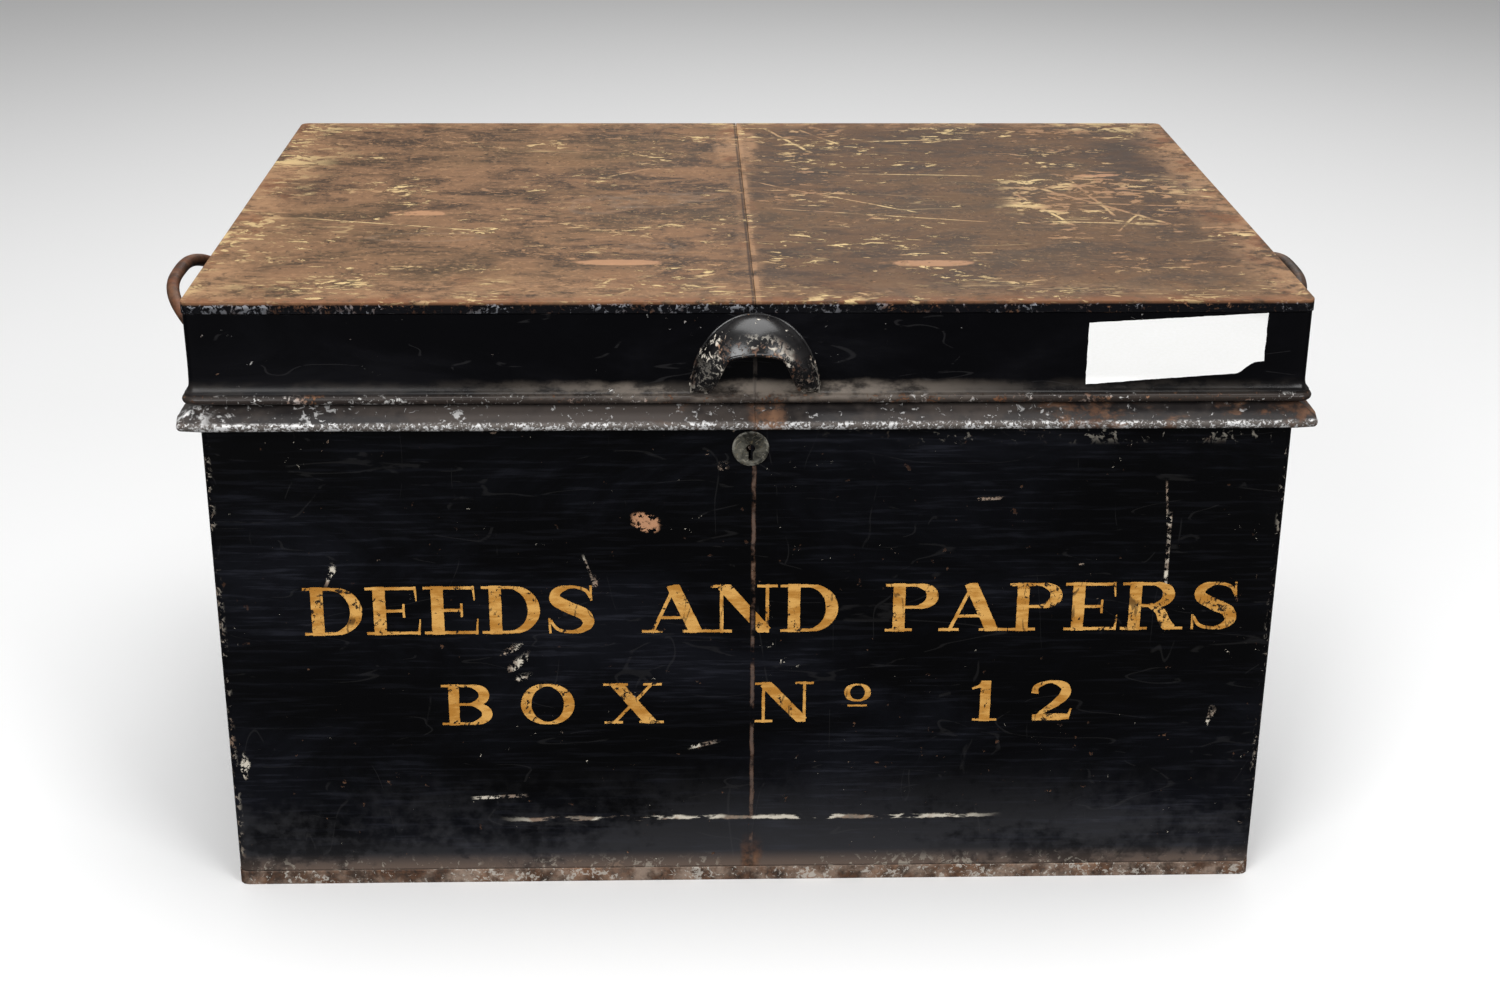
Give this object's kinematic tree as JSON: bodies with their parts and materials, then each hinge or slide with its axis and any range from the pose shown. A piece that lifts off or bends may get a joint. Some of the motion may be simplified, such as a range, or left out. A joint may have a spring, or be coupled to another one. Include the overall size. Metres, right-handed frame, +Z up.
{
  "type": "deed box",
  "caption": "Black sheet-iron strong box with a hinged lid, finger hood, moulded rim, bail handles at the ends and a key lock.",
  "frame": {"origin": "middle of the base pan, on the surface the box stands on", "axes": "+Z up, -Y out of the front with the keyhole, +X to the right seen from the front"},
  "size_m": [0.7206, 0.4572, 0.361],
  "materials": {
    "japanned_iron": "glossy black japan, chipped",
    "dusty_japan": "satin, dusty black japan worn bright on the edge",
    "worn_lid_top": "matte, olive brown, scratched",
    "rusty_iron": "rough, rusted",
    "plain_iron": "dull dark iron",
    "dull_brass": "tarnished grey green",
    "blank_paper": "matte paper"
  },
  "bodies": {
    "box": {"body_shell_left": "japanned_iron", "body_shell_right": "japanned_iron", "body_front_seam": "plain_iron", "body_back_seam": "plain_iron", "base_pan": "rusty_iron", "mouth_wire": "plain_iron", "moulding_front_left": "dusty_japan", "moulding_front_right": "dusty_japan", "moulding_left_end": "dusty_japan", "moulding_right_end": "dusty_japan", "moulding_back": "dusty_japan", "escutcheon": "dull_brass", "lock_cover": "dull_brass", "lock_case": "plain_iron", "bolt_spring": "plain_iron", "key_pin": "plain_iron", "lock_rivet_left": "plain_iron", "lock_rivet_right": "plain_iron", "hinge_body_leaf_left": "plain_iron", "hinge_body_leaf_right": "plain_iron", "hinge_pin_left": "plain_iron", "hinge_pin_right": "plain_iron", "body_leaf_rivet_left_a": "plain_iron", "body_leaf_rivet_left_b": "plain_iron", "body_leaf_rivet_right_a": "plain_iron", "body_leaf_rivet_right_b": "plain_iron", "handle_bracket_left_front": "plain_iron", "handle_bracket_left_rear": "plain_iron", "handle_bracket_right_front": "plain_iron", "handle_bracket_right_rear": "plain_iron", "bracket_rivet_left_front_a": "plain_iron", "bracket_rivet_left_front_b": "plain_iron", "bracket_rivet_left_rear_a": "plain_iron", "bracket_rivet_left_rear_b": "plain_iron", "bracket_rivet_right_front_a": "plain_iron", "bracket_rivet_right_front_b": "plain_iron", "bracket_rivet_right_rear_a": "plain_iron", "bracket_rivet_right_rear_b": "plain_iron"},
    "lid": {"lid_top_left": "worn_lid_top", "lid_top_right": "worn_lid_top", "lid_rim_left": "japanned_iron", "lid_rim_right": "japanned_iron", "lid_front_seam": "plain_iron", "lid_back_seam": "plain_iron", "lid_top_seam": "plain_iron", "lid_edge_wire": "rusty_iron", "finger_hood": "japanned_iron", "lock_staple": "plain_iron", "staple_rivet_left": "plain_iron", "staple_rivet_right": "plain_iron", "hinge_lid_leaf_left": "plain_iron", "hinge_lid_leaf_right": "plain_iron", "lid_leaf_rivet_left_a": "plain_iron", "lid_leaf_rivet_left_b": "plain_iron", "lid_leaf_rivet_right_a": "plain_iron", "lid_leaf_rivet_right_b": "plain_iron", "paper_label": "blank_paper"},
    "bolt": {"lock_bolt": "dull_brass"},
    "left_handle": {"handle_bail_left": "rusty_iron"},
    "right_handle": {"handle_bail_right": "plain_iron"}
  },
  "joints": [
    {"name": "lid_hinge", "type": "hinge", "parent": "box", "child": "lid", "pos_m": [0, 0.216, 0.3044], "axis": [-1, 0, 0], "range_deg": [0, 100]},
    {"name": "bolt_slide", "type": "slide", "parent": "box", "child": "bolt", "axis": [-1, 0, 0], "range_m": [0, 0.016]},
    {"name": "left_handle_swing", "type": "hinge", "parent": "box", "child": "left_handle", "pos_m": [-0.30625, 0.02, 0.263], "axis": [0, 1, 0], "range_deg": [-133, 18]},
    {"name": "right_handle_swing", "type": "hinge", "parent": "box", "child": "right_handle", "pos_m": [0.30625, 0.02, 0.263], "axis": [0, -1, 0], "range_deg": [-133, 18]}
  ]
}
